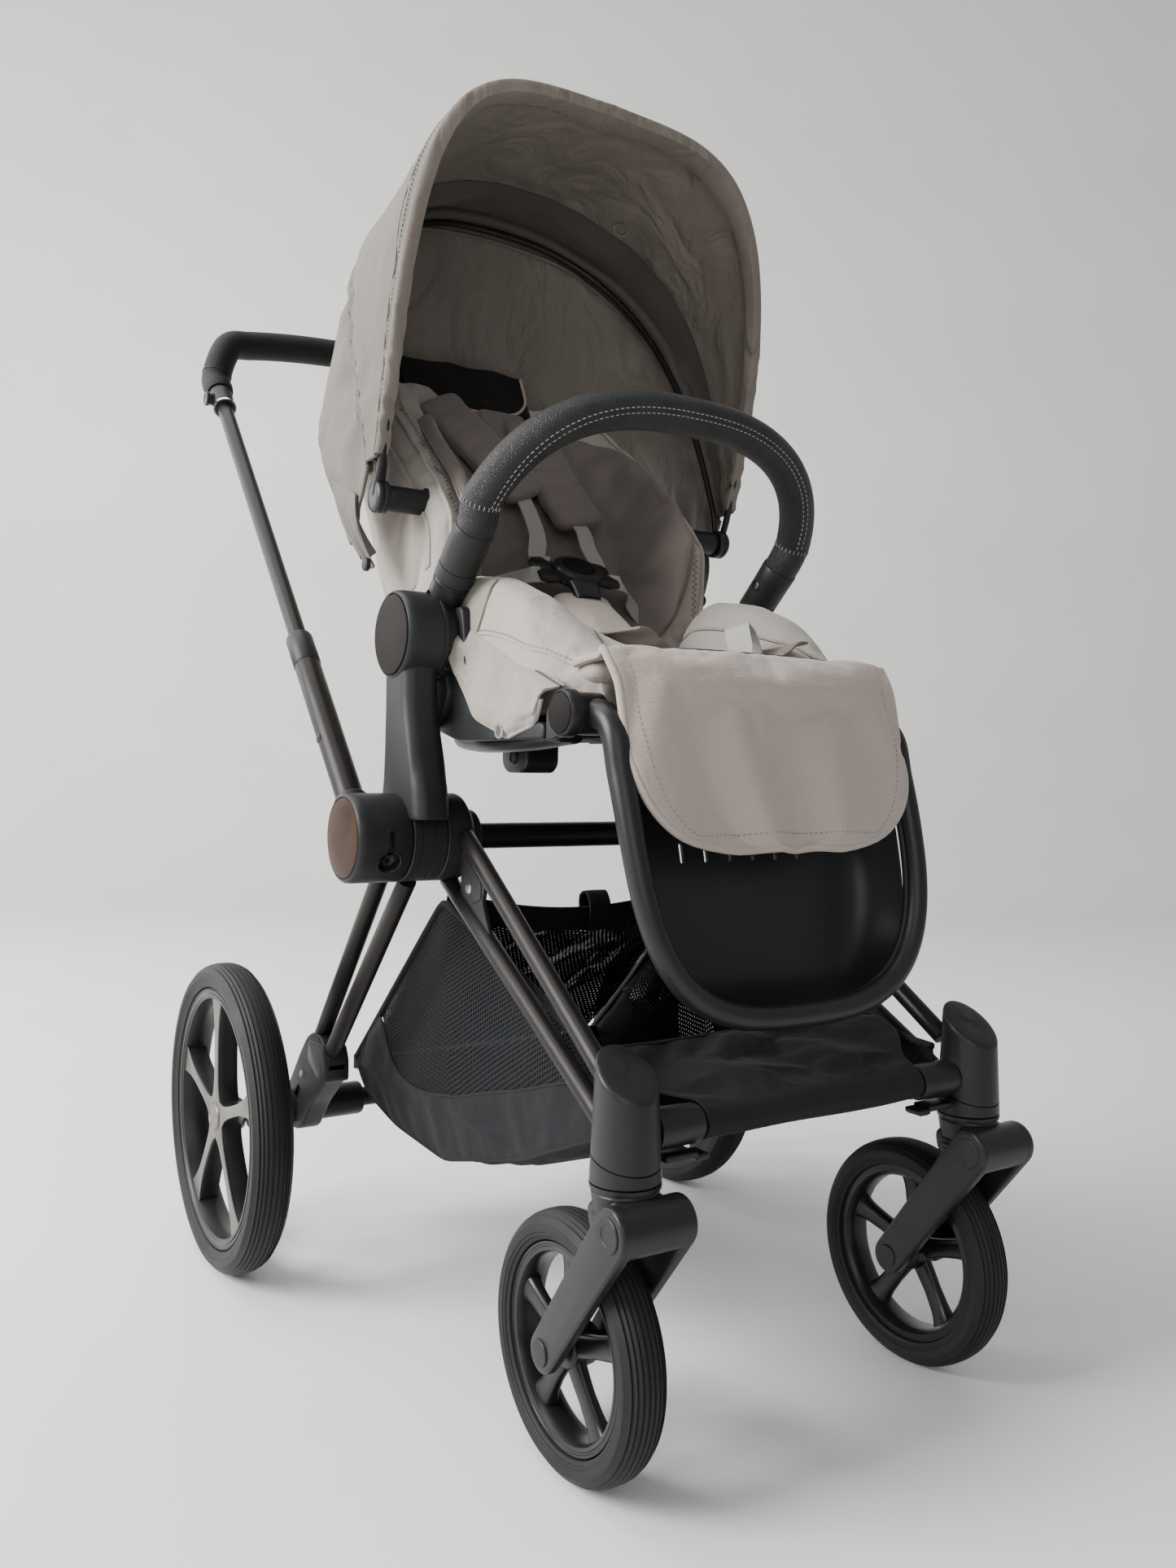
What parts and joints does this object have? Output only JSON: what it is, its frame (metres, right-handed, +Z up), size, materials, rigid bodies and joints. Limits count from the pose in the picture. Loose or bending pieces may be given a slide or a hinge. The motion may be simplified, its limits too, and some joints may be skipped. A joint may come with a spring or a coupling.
{
  "type": "baby stroller",
  "caption": "Folding baby stroller with a reclining bucket seat, sliding push handle, folding canopy, bumper bar, footrest tub and under-seat basket on swivelling front and large rear wheels.",
  "frame": {"origin": "on the ground, centred under the box that encloses the stroller", "axes": "+X to the seated child's left-hand side, -Y is the front (direction of travel), +Z up"},
  "size_m": [0.6, 0.8536, 1.1509],
  "materials": {
    "frame_tube": "satin fine-texture black powder coat",
    "moulding": "fine-grained matte black moulding",
    "hub_disc": "satin brown-copper cap on a black moulding",
    "rear_rim": "satin grey-bronze spoke faces on a black rim",
    "front_rim": "satin black rounded spokes",
    "tyre": "matte, grooved round the tread",
    "leather": "pebbled black with a pale double stitch",
    "chrome": "polished",
    "canopy_fabric": "taupe plain weave with a soft sheen",
    "liner_fabric": "taupe padded fine crinkle weave",
    "basket_fabric": "black woven cloth with open hexagonal mesh walls"
  },
  "bodies": {
    "chassis": {"rear_hub_right": "moulding", "rear_hub_left": "moulding", "rear_leg_upper_right": "frame_tube", "rear_leg_upper_left": "frame_tube", "rear_leg_lower_right": "frame_tube", "rear_leg_lower_left": "frame_tube", "rear_bracket_right": "moulding", "rear_bracket_left": "moulding", "rear_axle_tube": "frame_tube", "basket": "basket_fabric"},
    "front_frame": {"front_hub_right": "moulding", "front_hub_left": "moulding", "hub_cross_tube": "frame_tube", "front_leg_right": "frame_tube", "front_leg_left": "frame_tube", "front_cross_tube": "moulding", "caster_housing_right": "moulding", "caster_housing_left": "moulding"},
    "handle_lower": {"handle_hub_right": "hub_disc", "handle_hub_left": "hub_disc", "handle_sleeve_right": "frame_tube", "handle_sleeve_left": "frame_tube"},
    "handle_upper": {"handle_tube_right": "frame_tube", "handle_tube_left": "frame_tube", "grip": "leather"},
    "brake": {"brake_pedal": "moulding"},
    "seat": {"seat_post_right": "moulding", "seat_post_left": "moulding", "seat_side_right": "moulding", "seat_side_left": "moulding", "seat_frame": "moulding", "seat_cushion": "liner_fabric", "buckle": "moulding"},
    "backrest": {"back_shell": "moulding", "back_cushion": "liner_fabric"},
    "canopy_mid": {"canopy_bow_mid": "moulding", "canopy_panel_rear": "canopy_fabric"},
    "canopy_front": {"canopy_bow_front": "moulding", "canopy_panel_front": "canopy_fabric"},
    "leg_rest": {"footrest": "moulding", "calf_flap": "liner_fabric"},
    "bumper": {"bumper_bar": "leather"},
    "buckle_press": {"buckle_button": "moulding"},
    "recline_pull": {"pull_loop": "moulding"},
    "rear_wheel_right": {"rear_tyre_right": "tyre", "rear_rim_right": "rear_rim"},
    "caster_right": {"caster_fork_right": "moulding"},
    "front_wheel_right": {"front_tyre_right": "tyre", "front_rim_right": "front_rim"},
    "swivel_lever_right": {"swivel_lock_right": "moulding"},
    "height_press_right": {"height_button_right": "moulding"},
    "bumper_press_right": {"bumper_button_right": "chrome"},
    "rear_wheel_left": {"rear_tyre_left": "tyre", "rear_rim_left": "rear_rim"},
    "caster_left": {"caster_fork_left": "moulding"},
    "front_wheel_left": {"front_tyre_left": "tyre", "front_rim_left": "front_rim"},
    "swivel_lever_left": {"swivel_lock_left": "moulding"},
    "height_press_left": {"height_button_left": "moulding"},
    "bumper_press_left": {"bumper_button_left": "chrome"}
  },
  "joints": [
    {"name": "front_fold", "type": "hinge", "parent": "chassis", "child": "front_frame", "pos_m": [0, -0.07684, 0.452], "axis": [1, 0, 0], "range_deg": [0, 50], "deforming": ["basket"]},
    {"name": "handle_fold", "type": "hinge", "parent": "chassis", "child": "handle_lower", "pos_m": [0, -0.07684, 0.452], "axis": [1, 0, 0], "range_deg": [0, 140]},
    {"name": "handle_extend", "type": "slide", "parent": "handle_lower", "child": "handle_upper", "axis": [0, 0.6691, 0.7431], "range_m": [0, 0.075]},
    {"name": "seat_lift", "type": "slide", "parent": "chassis", "child": "seat", "axis": [0, 0, 1], "range_m": [0, 0.06]},
    {"name": "recline", "type": "hinge", "parent": "seat", "child": "backrest", "pos_m": [0, -0.07284, 0.63], "axis": [1, 0, 0], "range_deg": [-42, 0]},
    {"name": "canopy_fold_rear", "type": "hinge", "parent": "backrest", "child": "canopy_mid", "pos_m": [0, -0.00384, 0.765], "axis": [1, 0, 0], "range_deg": [-25, 0]},
    {"name": "canopy_fold_front", "type": "hinge", "parent": "canopy_mid", "child": "canopy_front", "pos_m": [0, -0.00384, 0.765], "axis": [1, 0, 0], "range_deg": [-33, 0], "deforming": ["canopy_panel_front"]},
    {"name": "leg_rest_tilt", "type": "hinge", "parent": "seat", "child": "leg_rest", "pos_m": [0, -0.28384, 0.556], "axis": [1, 0, 0], "range_deg": [-65, 0], "deforming": ["calf_flap"]},
    {"name": "bumper_release", "type": "slide", "parent": "seat", "child": "bumper", "axis": [0, -0.7215, 0.6924], "range_m": [0, 0.045]},
    {"name": "buckle_push", "type": "slide", "parent": "seat", "child": "buckle_press", "axis": [0, 0.6198, -0.7848], "range_m": [0, 0.003], "stiffness_N_per_m": 400},
    {"name": "recline_lever", "type": "slide", "parent": "seat", "child": "recline_pull", "axis": [0, 0, -1], "range_m": [0, 0.01], "stiffness_N_per_m": 900},
    {"name": "brake_step", "type": "hinge", "parent": "chassis", "child": "brake", "pos_m": [0, 0.18216, 0.155], "axis": [1, 0, 0], "range_deg": [0, 20]},
    {"name": "rear_spin_right", "type": "hinge", "parent": "chassis", "child": "rear_wheel_right", "pos_m": [-0.2805, 0.18216, 0.155], "axis": [1, 0, 0], "continuous": true},
    {"name": "caster_swivel_right", "type": "hinge", "parent": "front_frame", "child": "caster_right", "pos_m": [-0.1743, -0.38344, 0.2313], "axis": [0, 0, 1], "continuous": true},
    {"name": "front_spin_right", "type": "hinge", "parent": "caster_right", "child": "front_wheel_right", "pos_m": [-0.1743, -0.32384, 0.0955], "axis": [1, 0, 0], "continuous": true},
    {"name": "swivel_lock_turn_right", "type": "hinge", "parent": "front_frame", "child": "swivel_lever_right", "pos_m": [-0.13, -0.38344, 0.2415], "axis": [0, 0, 1], "range_deg": [0, 30]},
    {"name": "height_press_slide_right", "type": "slide", "parent": "handle_upper", "child": "height_press_right", "axis": [1, 0, 0], "range_m": [0, 0.003], "stiffness_N_per_m": 400},
    {"name": "bumper_press_slide_right", "type": "slide", "parent": "bumper", "child": "bumper_press_right", "axis": [-1, 0, 0], "range_m": [0, 0.003], "stiffness_N_per_m": 400},
    {"name": "rear_spin_left", "type": "hinge", "parent": "chassis", "child": "rear_wheel_left", "pos_m": [0.2805, 0.18216, 0.155], "axis": [1, 0, 0], "continuous": true},
    {"name": "caster_swivel_left", "type": "hinge", "parent": "front_frame", "child": "caster_left", "pos_m": [0.1743, -0.38344, 0.2313], "axis": [0, 0, 1], "continuous": true},
    {"name": "front_spin_left", "type": "hinge", "parent": "caster_left", "child": "front_wheel_left", "pos_m": [0.1743, -0.32384, 0.0955], "axis": [1, 0, 0], "continuous": true},
    {"name": "swivel_lock_turn_left", "type": "hinge", "parent": "front_frame", "child": "swivel_lever_left", "pos_m": [0.13, -0.38344, 0.2415], "axis": [0, 0, 1], "range_deg": [0, 30]},
    {"name": "height_press_slide_left", "type": "slide", "parent": "handle_upper", "child": "height_press_left", "axis": [-1, 0, 0], "range_m": [0, 0.003], "stiffness_N_per_m": 400},
    {"name": "bumper_press_slide_left", "type": "slide", "parent": "bumper", "child": "bumper_press_left", "axis": [1, 0, 0], "range_m": [0, 0.003], "stiffness_N_per_m": 400}
  ],
  "couplings": [
    {"joint": "handle_fold", "follows": "front_fold", "ratio": 2.8}
  ]
}
